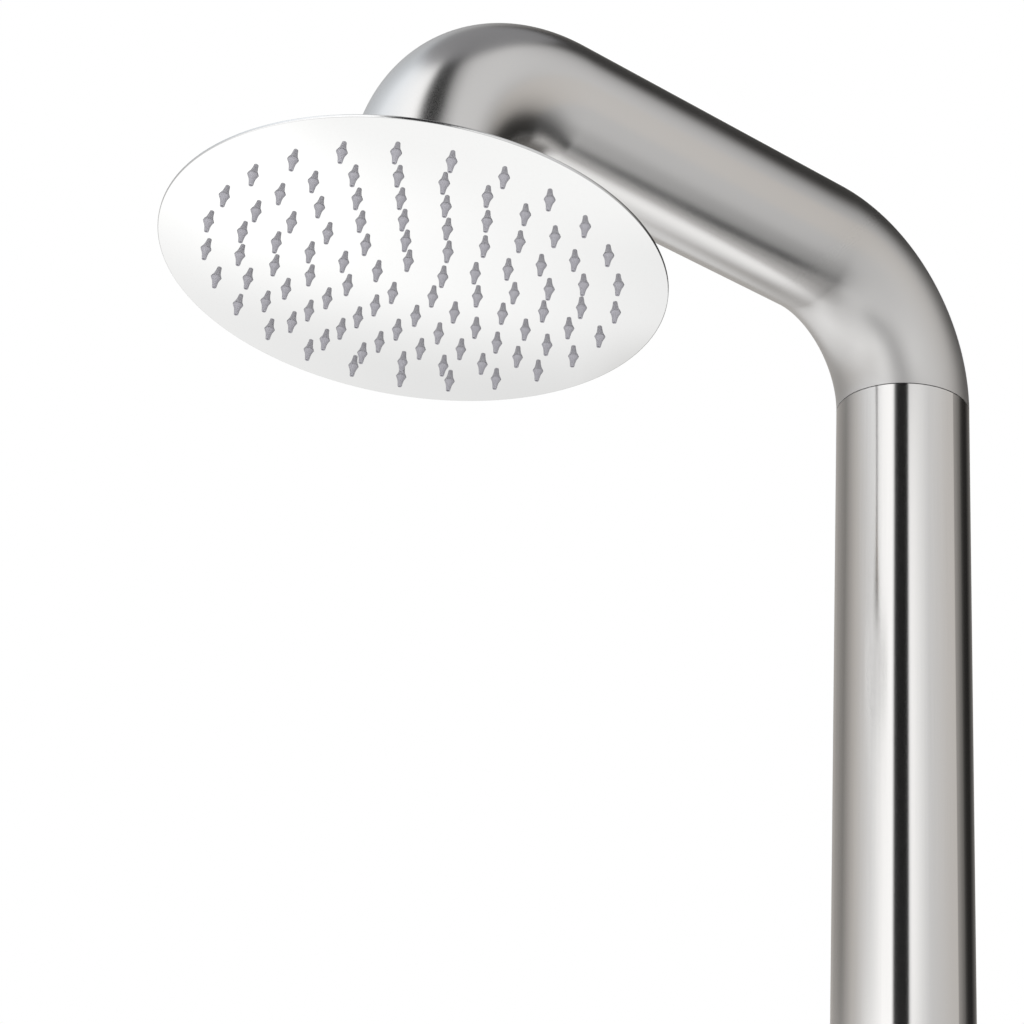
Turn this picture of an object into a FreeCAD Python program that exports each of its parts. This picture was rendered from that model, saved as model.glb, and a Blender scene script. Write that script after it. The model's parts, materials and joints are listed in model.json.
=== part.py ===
"""Outdoor shower post: a bent steel column with a lever valve and a swivelling rain head.

Millimetres.  The origin is the centre of the base flange's underside, on the post's axis.
+Z is up, the arm and the head reach towards -Y, and the water comes in at the back, +Y.
"""
import FreeCAD
import Part
import math
import os
import Sketcher

from FreeCAD import Rotation, Vector

# ---------------------------------------------------------------- driving dimensions

SIZES = {
    # column and arm, one tube size throughout
    "tube_od": 60.0,
    "tube_wall": 1.5,
    "seam_height": 2108.0,
    "seam_gap": 0.4,
    "arm_bend": 62.0,
    "arm_straight": 156.0,
    # play between pieces that plug, screw or lie together
    "slip_gap": 0.25,
    "thread_gap": 0.05,
    "lay_gap": 0.05,
    "hole_gap": 0.3,
    # base
    "flange_od": 220.0,
    "flange_thick": 8.0,
    "bolt_circle": 180.0,
    "bolt_hole": 11.0,
    "bolt_count": 4,
    "spigot_length": 60.0,
    "spigot_wall": 4.0,
    "base_screw_height": 38.0,
    "base_screw_count": 3,
    "base_screw_length": 6.0,
    "screw_shank": 5.0,
    "screw_head": 9.5,
    "screw_head_height": 2.8,
    "screw_socket": 3.0,
    "screw_socket_depth": 1.6,
    # plug joint between column and arm
    "sleeve_length": 60.0,
    "sleeve_wall": 4.0,
    "sleeve_lead": 4.0,
    "seam_seal_width": 1.0,
    "grub_od": 6.0,
    "grub_length": 5.5,
    "grub_depth": 18.0,
    "grub_pitch": 24.0,
    "grub_count": 2,
    "grub_socket": 3.0,
    "grub_socket_depth": 2.5,
    # outlet in the arm's mouth
    "cap_recess": 0.5,
    "cap_thick": 4.0,
    "cap_gap": 0.2,
    "connector_od": 25.0,
    "connector_flange_od": 32.0,
    "connector_flange_thick": 4.0,
    "connector_length": 20.5,
    "stem_thread_od": 20.9,
    "stem_thread_length": 10.0,
    "filter_thick": 1.9,
    "filter_bore": 10.0,
    "screen_thick": 0.5,
    "screen_hole": 0.9,
    "screen_pitch": 1.55,
    "flow_disc_od": 12.9,
    "flow_disc_thick": 2.5,
    "flow_hole": 2.0,
    "flow_hole_circle": 8.0,
    "flow_hole_count": 5,
    "stem_washer_thick": 1.5,
    "stem_washer_od": 28.0,
    # ball joint
    "ball_drop": 22.0,
    "ball_od": 23.0,
    "neck_od": 12.0,
    "stem_collar_height": 4.0,
    "stem_collar_flats": 22.0,
    "stem_bore": 8.0,
    "ball_gap": 0.1,
    "liner_wall": 0.8,
    "liner_rise": 3.8,
    "liner_fall": 2.1,
    "nut_od": 34.0,
    "nut_flats": 31.0,
    "nut_rise": 11.0,
    "nut_fall": 12.0,
    "nut_lip": 20.5,
    "nut_flare": 26.4,
    "nut_chamfer": 2.5,
    "boss_thread_od": 27.8,
    "boss_top": 3.5,
    "boss_flange_od": 40.0,
    "boss_flange_thick": 2.4,
    "boss_bore": 9.0,
    "boss_pilot_od": 25.8,
    "boss_pilot_length": 1.3,
    "ball_seal_cord": 2.6,
    "ball_seal_circle": 14.8,
    "seal_gap": 0.06,
    # head
    "head_od": 200.0,
    "head_tilt": 5.0,
    "rim_depth": 19.0,
    "rim_height": 1.1,
    "rim_wall": 1.0,
    "dome_rise": 4.2,
    "face_wall": 0.8,
    "back_wall": 0.8,
    "roof_depth": 15.0,
    "roof_fall": 1.3,
    "chamber_od": 174.0,
    "chamber_foot": 3.0,
    "mat_od": 171.0,
    "mat_wall": 1.5,
    "bead_width": 3.0,
    "land_width": 6.0,
    "nozzle_base": 4.1,
    "nozzle_collar": 0.3,
    "nozzle_neck": 2.5,
    "nozzle_neck_drop": 2.4,
    "nozzle_tip": 1.8,
    "nozzle_length": 4.8,
    "nozzle_bore": 1.1,
    "nozzle_gap": 0.1,
    "nozzle_phase": 42.7,
    "ring_pitch": 13.5,
    "ring_1_count": 5,
    "ring_2_count": 10,
    "ring_3_count": 15,
    "ring_4_count": 20,
    "ring_5_count": 25,
    "ring_6_count": 25,
    # valve
    "valve_height": 1100.0,
    "valve_barrel_od": 40.0,
    "valve_barrel_length": 64.0,
    "valve_shoulder_od": 36.0,
    "valve_boss_od": 30.0,
    "valve_boss_reach": 38.0,
    "cavity_od": 23.0,
    "cavity_floor": 6.0,
    "channel_bore": 8.0,
    "cross_bore": 7.0,
    "cross_channel_rise": 20.0,
    "outlet_channel_reach": 12.0,
    "collar_od": 44.0,
    "collar_reach": 40.0,
    "saddle_seal_thick": 1.0,
    "seat_seal_thick": 2.0,
    "disc_thick": 3.0,
    "disc_od": 15.8,
    "disc_port": 5.0,
    "disc_port_offset": 4.0,
    "disc_gap": 0.1,
    "housing_length": 22.0,
    "housing_bore_length": 13.6,
    "window_bore": 5.0,
    "window_reach": 10.0,
    "fork_length": 6.5,
    "spindle_od": 9.0,
    "spindle_length": 33.0,
    "spindle_seal_cord": 1.8,
    "spindle_seal_reach": 25.0,
    "gland_length": 6.0,
    "lever_gap": 0.3,
    "hub_od": 40.0,
    "hub_length": 24.0,
    "hub_round": 2.5,
    "lever_reach": 105.0,
    "lever_root_od": 13.0,
    "lever_tip_od": 9.0,
    "lever_screw_od": 4.0,
    "lever_screw_length": 10.0,
    "lever_screw_head": 7.2,
    "lever_screw_head_height": 3.0,
    "hub_web": 3.5,
    "hub_recess_od": 16.0,
    "cap_disc_thick": 2.0,
    # water inlet
    "inlet_height": 150.0,
    "inlet_thread_od": 20.96,
    "inlet_thread_length": 16.0,
    "inlet_bore": 13.0,
    "inlet_flats": 27.0,
    "inlet_hex_length": 6.0,
    "inlet_shank_od": 19.0,
    "inlet_shank_start": 16.0,
    "inlet_saddle_od": 34.0,
    "inlet_saddle_reach": 35.0,
    "elbow_barrel_od": 22.0,
    "elbow_fall": 14.0,
    "elbow_rise": 26.0,
    "elbow_arm_od": 28.0,
    # hoses and their fittings
    "hose_od": 12.0,
    "hose_bore": 8.0,
    "hose_offset": 10.0,
    "riser_height": 78.0,
    "riser_turn": 72.0,
    "outlet_turn": 40.0,
    "ferrule_wall": 1.2,
    "ferrule_length": 13.0,
    "fitting_thread": 14.0,
    "fitting_flats": 17.0,
    "fitting_hex_length": 4.0,
    "fitting_bore": 5.0,
    "barb_length": 12.0,
    "port_depth": 9.0,
}

RINGS = ("ring_1_count", "ring_2_count", "ring_3_count", "ring_4_count", "ring_5_count", "ring_6_count")

# cubic millimetres that every feature adds or removes at least
SMALLEST_CHANGE = 0.05

# directions in which a primitive's own +Z can point
UP = Rotation()
FRONT = Rotation(Vector(1, 0, 0), 90)
REAR = Rotation(Vector(1, 0, 0), -90)
SIDE = Rotation(Vector(0, 1, 0), 90)

doc = FreeCAD.newDocument("shower_post")
sheet = doc.addObject("Spreadsheet::Sheet", "sizes")
nodes = []


def fill_sheet():
    """Writes every driving dimension to the sheet, one row each, under its own alias."""
    for row, (name, value) in enumerate(SIZES.items(), start=1):
        sheet.set(f"A{row}", name)
        sheet.set(f"B{row}", str(value))
        sheet.setAlias(f"B{row}", name)
    doc.recompute()


# ---------------------------------------------------------------- sizes and expressions


class Size:
    """A size as a number, together with the sheet expression that gives it."""

    def __init__(self, value, text):
        self.value = value
        self.text = text

    def __add__(self, other):
        other = size_of(other)
        return Size(self.value + other.value, f"({self.text} + {other.text})")

    def __sub__(self, other):
        other = size_of(other)
        return Size(self.value - other.value, f"({self.text} - {other.text})")

    def __mul__(self, other):
        other = size_of(other)
        return Size(self.value * other.value, f"({self.text} * {other.text})")

    def __truediv__(self, other):
        other = size_of(other)
        return Size(self.value / other.value, f"({self.text} / {other.text})")

    def __neg__(self):
        return Size(-self.value, f"(0 - {self.text})")

    def __rsub__(self, other):
        return size_of(other) - self


def size_of(thing):
    """A plain number as a Size; a Size as it is."""
    return thing if isinstance(thing, Size) else Size(thing, repr(thing))


def root(size):
    return Size(math.sqrt(size.value), f"sqrt({size.text})")


def cosine(angle):
    return Size(math.cos(math.radians(angle.value)), f"cos({angle.text} * 1 deg)")


def sine(angle):
    return Size(math.sin(math.radians(angle.value)), f"sin({angle.text} * 1 deg)")


def chord(sphere, reach):
    """How far from a sphere's centre its wall is, measured along the axis at a radius of reach."""
    return root(sphere * sphere - reach * reach)


class Sizes:
    """The driving dimensions as attributes, so that sz.tube_od is the tube's diameter."""

    def __getattr__(self, name):
        return Size(SIZES[name], f"sizes.{name}")


sz = Sizes()

tube_r = sz.tube_od / 2
tube_inner_r = tube_r - sz.tube_wall
plug_r = tube_inner_r - sz.slip_gap
reach = sz.arm_bend * 2 + sz.arm_straight
hex_factor = math.sqrt(3)


def bind(thing, path, size):
    """Ties one property to the sheet; a plain number is simply set."""
    size = size_of(size)
    thing.setExpression(path, size.text)


def settle(thing, at, turn):
    """Places a primitive at three sizes, turned by a fixed rotation."""
    thing.Placement.Rotation = turn
    for axis, size in zip("xyz", at):
        bind(thing, f"Placement.Base.{axis}", size)


# ---------------------------------------------------------------- bodies and sketches


def new_body(label, at=(0, 0, 0), turn=UP, several=False):
    """A named body, placed in the model; several allows separate solids in it."""
    body = doc.addObject("PartDesign::Body", label)
    body.Label = label
    body.AllowCompound = several
    settle(body, at, turn)
    nodes.append(body)
    return body


def origin_of(body, role):
    """One of a body's own origin planes or axes."""
    return next(item for item in body.Origin.OriginFeatures if item.Role == role)


def primitive(body, kind, at=(0, 0, 0), turn=UP, sides=None, **sizes):
    """Adds or cuts one primitive in a body, with its sizes and place tied to the sheet."""
    feature = body.newObject(f"PartDesign::{kind}", f"{body.Label}_{kind.lower()}")
    if sides:
        feature.Polygon = sides
    for name, size in sizes.items():
        bind(feature, name, size)
    settle(feature, at, turn)
    return feature


def disc(body, radius, bottom, top, at=(0, 0)):
    """Adds a cylinder from one height to another."""
    return primitive(body, "AdditiveCylinder", (*at, bottom), Radius=radius, Height=top - bottom)


def bore(body, radius, bottom, top, at=(0, 0)):
    """Cuts a cylinder from one height to another."""
    return primitive(body, "SubtractiveCylinder", (*at, bottom), Radius=radius, Height=top - bottom)


def around(body, feature, count):
    """Repeats the body's last feature evenly about its Z axis."""
    pattern = body.newObject("PartDesign::PolarPattern", f"{body.Label}_around")
    pattern.Originals = [feature]
    pattern.Axis = (origin_of(body, "Z_Axis"), [""])
    pattern.Angle = 360
    bind(pattern, "Occurrences", count)
    body.Tip = pattern


def in_line(body, feature, count, pitch):
    """Repeats the body's last feature down its Z axis."""
    pattern = body.newObject("PartDesign::LinearPattern", f"{body.Label}_line")
    pattern.Originals = [feature]
    pattern.Direction = (origin_of(body, "Z_Axis"), [""])
    pattern.Reversed = True
    pattern.Mode = "Spacing"
    bind(pattern, "Offset", pitch)
    bind(pattern, "Occurrences", count)
    body.Tip = pattern


def new_sketch(body, plane):
    sketch = body.newObject("Sketcher::SketchObject", f"{body.Label}_sketch")
    sketch.AttachmentSupport = [(origin_of(body, plane), "")]
    sketch.MapMode = "FlatFace"
    return sketch


def constrain(sketch, kind, *where, size=None):
    """Adds one constraint, tied to the sheet when it has a size."""
    if size is None:
        sketch.addConstraint(Sketcher.Constraint(kind, *where))
        return
    index = sketch.addConstraint(Sketcher.Constraint(kind, *where, size.value))
    sketch.setExpression(f"Constraints[{index}]", size.text)


def pin(sketch, edge, end, across, along=None):
    """Ties a point to the sketch's origin; a plain 0 puts it on an axis."""
    for kind, axis, size in (("DistanceX", -2, across), ("DistanceY", -1, along)):
        if size is None:
            continue
        if isinstance(size, Size):
            constrain(sketch, kind, -1, 1, edge, end, size=size)
        else:
            constrain(sketch, "PointOnObject", edge, end, axis)


def circle(sketch, diameter):
    """A circle about the sketch's origin."""
    edge = sketch.addGeometry(Part.Circle(Vector(), Vector(0, 0, 1), diameter.value / 2), False)
    constrain(sketch, "Coincident", edge, 3, -1, 1)
    constrain(sketch, "Diameter", edge, size=diameter)


def point(corner):
    return Vector(size_of(corner[0]).value, size_of(corner[1]).value, 0)


def arc_edge(sketch, start, stop, centre, radius):
    """Draws an arc the short way round; returns it with its ends in drawing order."""
    first, last, middle = point(start), point(stop), point(centre)
    from_angle = math.atan2(first.y - middle.y, first.x - middle.x)
    to_angle = math.atan2(last.y - middle.y, last.x - middle.x)
    anticlockwise = (to_angle - from_angle) % math.tau < math.pi
    if not anticlockwise:
        from_angle, to_angle = to_angle, from_angle
    whole = Part.Circle(middle, Vector(0, 0, 1), radius.value)
    edge = sketch.addGeometry(Part.ArcOfCircle(whole, from_angle, to_angle), False)
    pin(sketch, edge, 3, *centre)
    constrain(sketch, "Radius", edge, size=radius)
    return (edge, 1, 2) if anticlockwise else (edge, 2, 1)


def outline(body, corners, arcs=None, plane="XZ_Plane"):
    """Draws a closed outline.  arcs maps a corner's number to the (centre, radius) of the arc after it."""
    arcs = arcs or {}
    sketch = new_sketch(body, plane)
    edges = []
    for number, start in enumerate(corners):
        stop = corners[(number + 1) % len(corners)]
        if number in arcs:
            edges.append(arc_edge(sketch, start, stop, *arcs[number]))
        else:
            line = Part.LineSegment(point(start), point(stop))
            edges.append((sketch.addGeometry(line, False), 1, 2))
    for number, (edge, first, _) in enumerate(edges):
        before, _, last = edges[number - 1]
        constrain(sketch, "Coincident", before, last, edge, first)
    for number, (edge, first, _) in enumerate(edges):
        on_arc = number in arcs or (number - 1) % len(corners) in arcs
        across, along = corners[number]
        if on_arc and isinstance(along, Size):
            along = None
        elif on_arc:
            across = None
        pin(sketch, edge, first, across, along)
    return sketch


def turned(body, corners, arcs=None, at=(0, 0)):
    """Revolves an outline of (radius, height) corners about an upright axis."""
    sketch = outline(body, corners, arcs)
    bind(sketch, "AttachmentOffset.Base.x", at[0])
    bind(sketch, "AttachmentOffset.Base.z", -size_of(at[1]))
    feature = body.newObject("PartDesign::Revolution", f"{body.Label}_turned")
    feature.Profile = sketch
    feature.ReferenceAxis = (sketch, ["V_Axis"])
    feature.Angle = 360
    return feature


def ring_sketch(body, outer, inner):
    sketch = new_sketch(body, "XY_Plane")
    circle(sketch, outer)
    circle(sketch, inner)
    return sketch


def straight_tube(body, outer, inner, length):
    pad = body.newObject("PartDesign::Pad", f"{body.Label}_pad")
    pad.Profile = ring_sketch(body, outer, inner)
    bind(pad, "Length", length)
    return pad


def bent_tube(body, outer, inner, over, rise, fall, turns):
    """Sweeps a ring up by rise, back by over and down by fall, with an arc of turns[n] at each corner."""
    section = ring_sketch(body, outer, inner)
    spine = new_sketch(body, "YZ_Plane")
    first_turn, last_turn = turns
    first = (0 - first_turn, rise - first_turn)
    last = (last_turn - over, rise - last_turn)
    foot, tip = (0, 0), (0 - over, rise - fall)
    begin, top = (0, first[1]), (first[0], rise)
    back, end = (last[0], rise), (0 - over, last[1])
    first_edge, first_in, first_out = arc_edge(spine, begin, top, first, first_turn)
    last_edge, last_in, last_out = arc_edge(spine, back, end, last, last_turn)
    constrain(spine, "Horizontal", first_edge, 3, first_edge, first_in)
    constrain(spine, "Vertical", first_edge, 3, first_edge, first_out)
    constrain(spine, "Vertical", last_edge, 3, last_edge, last_in)
    constrain(spine, "Horizontal", last_edge, 3, last_edge, last_out)
    runs = [
        (foot, begin, None, (first_edge, first_in)),
        (top, back, (first_edge, first_out), (last_edge, last_in)),
        (end, tip, (last_edge, last_out), None),
    ]
    for start, stop, joins_start, joins_stop in runs:
        if (point(stop) - point(start)).Length < sz.lay_gap.value:
            continue
        line = spine.addGeometry(Part.LineSegment(point(start), point(stop)), False)
        for place, own_end, joint in ((start, 1, joins_start), (stop, 2, joins_stop)):
            if joint:
                constrain(spine, "Coincident", line, own_end, *joint)
            else:
                pin(spine, line, own_end, *place)
    pipe = body.newObject("PartDesign::AdditivePipe", f"{body.Label}_pipe")
    pipe.Profile = section
    pipe.Spine = (spine, [])
    return pipe


# ---------------------------------------------------------------- loose solids and booleans


def solid(kind, at=(0, 0, 0), turn=UP, sides=None, **sizes):
    """A primitive outside any body, with its sizes and place tied to the sheet."""
    item = doc.addObject(f"Part::{kind}", kind.lower())
    if sides:
        item.Polygon = sides
    for name, size in sizes.items():
        bind(item, name, size)
    settle(item, at, turn)
    return item


def rod(radius, start, stop, turn=UP, at=(0, 0, 0)):
    """A cylinder along a direction, from start to stop as measured from the point at."""
    return solid("Cylinder", along(at, start, turn), turn, Radius=radius, Height=stop - start)


def hexagon(flats, start, stop, turn=UP, at=(0, 0, 0)):
    """A hexagonal prism along a direction."""
    return solid("Prism", along(at, start, turn), turn, sides=6,
                 Circumradius=size_of(flats) / hex_factor, Height=stop - start)


def along(at, distance, turn):
    """The point at a distance from another, along a direction that lies on an axis."""
    heading = turn.multVec(Vector(0, 0, 1))
    return tuple(size_of(place) + size_of(distance) * round(step) for place, step in zip(at, heading))


def together(pieces):
    if len(pieces) == 1:
        return pieces[0]
    joined = doc.addObject("Part::MultiFuse", "joined")
    joined.Shapes = pieces
    return joined


def common(first, second):
    shared = doc.addObject("Part::Common", "shared")
    shared.Base = first
    shared.Tool = second
    return shared


def minus(base, tools):
    rest = doc.addObject("Part::Cut", "rest")
    rest.Base = base
    rest.Tool = together(tools)
    return rest


def group(pieces):
    """Alike pieces that stay separate solids in one node."""
    several = doc.addObject("Part::Compound", "group")
    several.Links = pieces
    return several


def node(label, item):
    """Names a finished piece."""
    item.Label = label
    nodes.append(item)
    return item


def column(radius, centre_height, half_height):
    """A full-height stand-in for the column's round wall near one height, used to cope pieces to it."""
    return rod(radius, centre_height - half_height, centre_height + half_height)


# ---------------------------------------------------------------- base, column and arm


def base_flange():
    """Floor plate with four bolt holes and a welded spigot that the column slips over."""
    body = new_body("base_flange")
    spigot_top = sz.flange_thick + sz.spigot_length
    spigot_inner = plug_r - sz.spigot_wall
    turned(body, [
        (0, 0),
        (sz.flange_od / 2, 0),
        (sz.flange_od / 2, sz.flange_thick),
        (plug_r, sz.flange_thick),
        (plug_r, spigot_top),
        (spigot_inner, spigot_top),
        (spigot_inner, sz.flange_thick),
        (0, sz.flange_thick),
    ])
    hole_place = (sz.bolt_circle / 2 * root(size_of(0.5)),) * 2
    hole = bore(body, sz.bolt_hole / 2, size_of(0), sz.flange_thick, hole_place)
    around(body, hole, sz.bolt_count)
    thread = primitive(body, "SubtractiveCylinder", (0, 0, sz.base_screw_height), REAR,
                       Radius=sz.screw_shank / 2 + sz.thread_gap, Height=tube_r)
    around(body, thread, sz.base_screw_count)


def base_screws():
    """Button-head screws that hold the column on the spigot."""
    body = new_body("base_screws", (0, 0, sz.base_screw_height), several=True)
    head = primitive(body, "AdditiveCylinder", (0, tube_r, 0), REAR,
                     Radius=sz.screw_head / 2, Height=sz.screw_head_height)
    around(body, head, sz.base_screw_count)
    shank = primitive(body, "AdditiveCylinder", (0, tube_r - sz.base_screw_length, 0), REAR,
                      Radius=sz.screw_shank / 2, Height=sz.base_screw_length)
    around(body, shank, sz.base_screw_count)
    socket = primitive(body, "SubtractivePrism",
                       (0, tube_r + sz.screw_head_height - sz.screw_socket_depth, 0), REAR, sides=6,
                       Circumradius=sz.screw_socket / hex_factor, Height=sz.screw_socket_depth)
    around(body, socket, sz.base_screw_count)


def post_tube():
    """The column, with its holes for the screws, the water inlet and the valve."""
    body = new_body("post_tube", (0, 0, sz.flange_thick))
    floor = sz.flange_thick
    straight_tube(body, sz.tube_od, tube_inner_r * 2, sz.seam_height - sz.seam_gap - floor)
    screw_hole = primitive(body, "SubtractiveCylinder", (0, 0, sz.base_screw_height - floor), REAR,
                           Radius=sz.screw_shank / 2 + sz.hole_gap, Height=sz.tube_od)
    around(body, screw_hole, sz.base_screw_count)
    primitive(body, "SubtractiveCylinder", (0, 0, sz.inlet_height - floor), REAR,
              Radius=sz.inlet_shank_od / 2 + sz.hole_gap, Height=sz.tube_od)
    primitive(body, "SubtractiveCylinder", (0, 0, sz.valve_height - floor), FRONT,
              Radius=sz.valve_boss_od / 2 + sz.hole_gap, Height=sz.tube_od)
    grub_hole = primitive(body, "SubtractiveCylinder", (0, 0, sz.seam_height - sz.grub_depth - floor), REAR,
                          Radius=sz.grub_od / 2 + sz.hole_gap, Height=sz.tube_od)
    in_line(body, grub_hole, sz.grub_count, sz.grub_pitch)


def joint_sleeve():
    """Plug welded in the arm's mouth, which slips into the top of the column."""
    body = new_body("joint_sleeve", (0, 0, sz.seam_height - sz.sleeve_length))
    straight_tube(body, plug_r * 2, (plug_r - sz.sleeve_wall) * 2, sz.sleeve_length + sz.sleeve_lead)
    thread = primitive(body, "SubtractiveCylinder", (0, 0, sz.sleeve_length - sz.grub_depth), REAR,
                       Radius=sz.grub_od / 2 + sz.thread_gap, Height=sz.tube_od)
    in_line(body, thread, sz.grub_count, sz.grub_pitch)


def joint_screws():
    """Grub screws at the back that lock the arm to the column, flush with its surface."""
    body = new_body("joint_screws", (0, 0, sz.seam_height - sz.grub_depth), several=True)
    screw = primitive(body, "AdditiveCylinder", (0, tube_r - sz.grub_length, 0), REAR,
                      Radius=sz.grub_od / 2, Height=sz.grub_length)
    in_line(body, screw, sz.grub_count, sz.grub_pitch)
    socket = primitive(body, "SubtractivePrism", (0, tube_r - sz.grub_socket_depth, 0), REAR, sides=6,
                       Circumradius=sz.grub_socket / hex_factor, Height=sz.grub_socket_depth)
    in_line(body, socket, sz.grub_count, sz.grub_pitch)


def joint_seal():
    """Thin dark ring between the two tube ends."""
    body = new_body("joint_seal", (0, 0, sz.seam_height - sz.seam_gap))
    straight_tube(body, (tube_inner_r + sz.seam_seal_width) * 2, tube_inner_r * 2, sz.seam_gap)


def arm_tube():
    """One tube with two quarter bends, which reaches forward and turns down over the head."""
    body = new_body("arm_tube", (0, 0, sz.seam_height))
    bent_tube(body, sz.tube_od, tube_inner_r * 2, reach, sz.arm_bend, sz.arm_bend,
              (sz.arm_bend, sz.arm_bend))


# ---------------------------------------------------------------- outlet in the arm's mouth

mouth = (0, -reach, sz.seam_height)
cap_top = sz.cap_recess + sz.cap_thick
stem_start = sz.cap_recess - sz.stem_washer_thick
stem_top = stem_start + sz.stem_thread_length
filter_bottom = stem_top + sz.lay_gap
socket_top = filter_bottom + sz.filter_thick + sz.lay_gap
connector_top = sz.cap_recess + sz.connector_length


def arm_end_cap():
    """Disc welded in the arm's mouth, which carries the outlet."""
    body = new_body("arm_end_cap", mouth)
    disc(body, tube_inner_r - sz.cap_gap, sz.cap_recess, cap_top)
    bore(body, sz.connector_od / 2 + sz.lay_gap, sz.cap_recess, cap_top)


def outlet_connector():
    """Brass socket through the end cap: the ball stem screws in below, the riser hose above."""
    body = new_body("outlet_connector", mouth)
    disc(body, sz.connector_od / 2, sz.cap_recess, connector_top)
    disc(body, sz.connector_flange_od / 2, cap_top, cap_top + sz.connector_flange_thick)
    bore(body, sz.stem_thread_od / 2 + sz.thread_gap, sz.cap_recess, socket_top)
    bore(body, sz.fitting_bore / 2, socket_top, connector_top - sz.port_depth)
    bore(body, sz.fitting_thread / 2 + sz.thread_gap, connector_top - sz.port_depth, connector_top)


def filter_washer():
    """Rubber ring that seals the stem in the connector and holds the screen."""
    body = new_body("filter_washer", (0, -reach, sz.seam_height + filter_bottom))
    straight_tube(body, sz.stem_thread_od, sz.filter_bore, sz.filter_thick)


def filter_screen():
    """Perforated disc that catches grit."""
    body = new_body("filter_screen", (0, -reach, sz.seam_height + filter_bottom))
    screen_r = sz.filter_bore / 2 - sz.lay_gap
    disc(body, screen_r, size_of(0), sz.screen_thick)
    bore(body, sz.screen_hole / 2, size_of(0), sz.screen_thick)
    for ring, count in ((1, 6), (2, 12)):
        hole = bore(body, sz.screen_hole / 2, size_of(0), sz.screen_thick, (sz.screen_pitch * ring, 0))
        around(body, hole, count)


def flow_disc():
    """Plastic disc with small holes that steadies the flow."""
    body = new_body("flow_disc", (0, -reach, sz.seam_height + stem_top - sz.flow_disc_thick))
    disc(body, sz.flow_disc_od / 2, size_of(0), sz.flow_disc_thick)
    hole = bore(body, sz.flow_hole / 2, size_of(0), sz.flow_disc_thick, (sz.flow_hole_circle / 2, 0))
    around(body, hole, sz.flow_hole_count)


def stem_washer():
    """Flat washer between the stem's collar and the end cap."""
    body = new_body("stem_washer", (0, -reach, sz.seam_height + stem_start))
    straight_tube(body, sz.stem_washer_od, sz.stem_thread_od + sz.hole_gap * 2, sz.stem_washer_thick)


def ball_stem():
    """Ball on a neck, with a hexagon collar and the thread that screws up into the connector."""
    body = new_body("ball_stem", (0, -reach, sz.seam_height - sz.ball_drop))
    collar_top = sz.ball_drop + stem_start
    collar_bottom = collar_top - sz.stem_collar_height
    thread_top = sz.ball_drop + stem_top
    primitive(body, "AdditiveSphere", Radius=sz.ball_od / 2)
    disc(body, sz.neck_od / 2, size_of(0), collar_bottom)
    primitive(body, "AdditivePrism", (0, 0, collar_bottom), sides=6,
              Circumradius=sz.stem_collar_flats / hex_factor, Height=sz.stem_collar_height)
    disc(body, sz.stem_thread_od / 2, collar_top, thread_top)
    bore(body, sz.stem_bore / 2, -sz.ball_od / 2, thread_top)
    bore(body, sz.flow_disc_od / 2 + sz.lay_gap, thread_top - sz.flow_disc_thick, thread_top)


# ---------------------------------------------------------------- swivelling head
# The head's own frame has its origin at the ball's centre, +Z along the spray and +Y outwards.

ball_centre = (0, -reach, sz.seam_height - sz.ball_drop)
liner_inner_r = sz.ball_od / 2 + sz.ball_gap
liner_outer_r = liner_inner_r + sz.liner_wall
cup_r = liner_outer_r + sz.ball_gap * 2
boss_foot = sz.roof_depth
boss_flange_top = boss_foot - sz.boss_flange_thick
seal_centre_r = sz.ball_seal_circle / 2
seal_depth = chord(sz.ball_od / 2 + sz.ball_gap + sz.ball_seal_cord / 2, seal_centre_r)
head_r = sz.head_od / 2
dome_r = (head_r * head_r + sz.dome_rise * sz.dome_rise) / (sz.dome_rise * 2)
pole_depth = sz.rim_depth + sz.dome_rise
dome_centre = pole_depth - dome_r
face_inner_r = dome_r - sz.face_wall
mat_outer_r = face_inner_r - sz.lay_gap
back_r = head_r - sz.rim_wall - sz.lay_gap


def settle_in_head(thing):
    """Places a piece in the head's frame, tilted outwards by the head's rest angle."""
    turn = 180 - sz.head_tilt
    settle(thing, ball_centre, Rotation(Vector(1, 0, 0), turn.value))
    bind(thing, "Placement.Rotation.Angle", turn)


def head_body(label):
    body = new_body(label)
    settle_in_head(body)
    return body


def dome_depth(sphere, radius):
    """Depth below the ball's centre of a dome's wall, at a radius from the head's axis."""
    return dome_centre + chord(sphere, radius)


def ball_liner():
    """Plastic bearing ring round the ball, inside the nut."""
    ring = minus(
        common(
            solid("Sphere", Radius=liner_outer_r),
            rod(cup_r, -sz.liner_fall, sz.liner_rise),
        ),
        [solid("Sphere", Radius=liner_inner_r)],
    )
    settle(ring, ball_centre, UP)
    node("ball_liner", ring)


def swivel_nut():
    """Hexagon nut whose lip traps the ball; it screws down on the head's boss."""
    body = doc.addObject("PartDesign::Body", "nut_blank")
    lip_height = chord(cup_r, sz.nut_lip / 2)
    nut_r = sz.nut_od / 2
    thread_r = sz.boss_thread_od / 2 + sz.thread_gap
    step = sz.boss_top - sz.hole_gap
    turned(body, [
        (nut_r - sz.nut_chamfer, -sz.nut_rise),
        (nut_r, sz.nut_chamfer - sz.nut_rise),
        (nut_r, sz.nut_fall),
        (thread_r, sz.nut_fall),
        (thread_r, step),
        (cup_r, step),
        (cup_r, 0),
        (sz.nut_lip / 2, -lip_height),
        (sz.nut_flare / 2, -sz.nut_rise),
    ], {6: ((0, 0), cup_r)})
    nut = common(body, hexagon(sz.nut_flats, -sz.nut_rise, sz.nut_fall))
    settle_in_head(nut)
    node("swivel_nut", nut)


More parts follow.
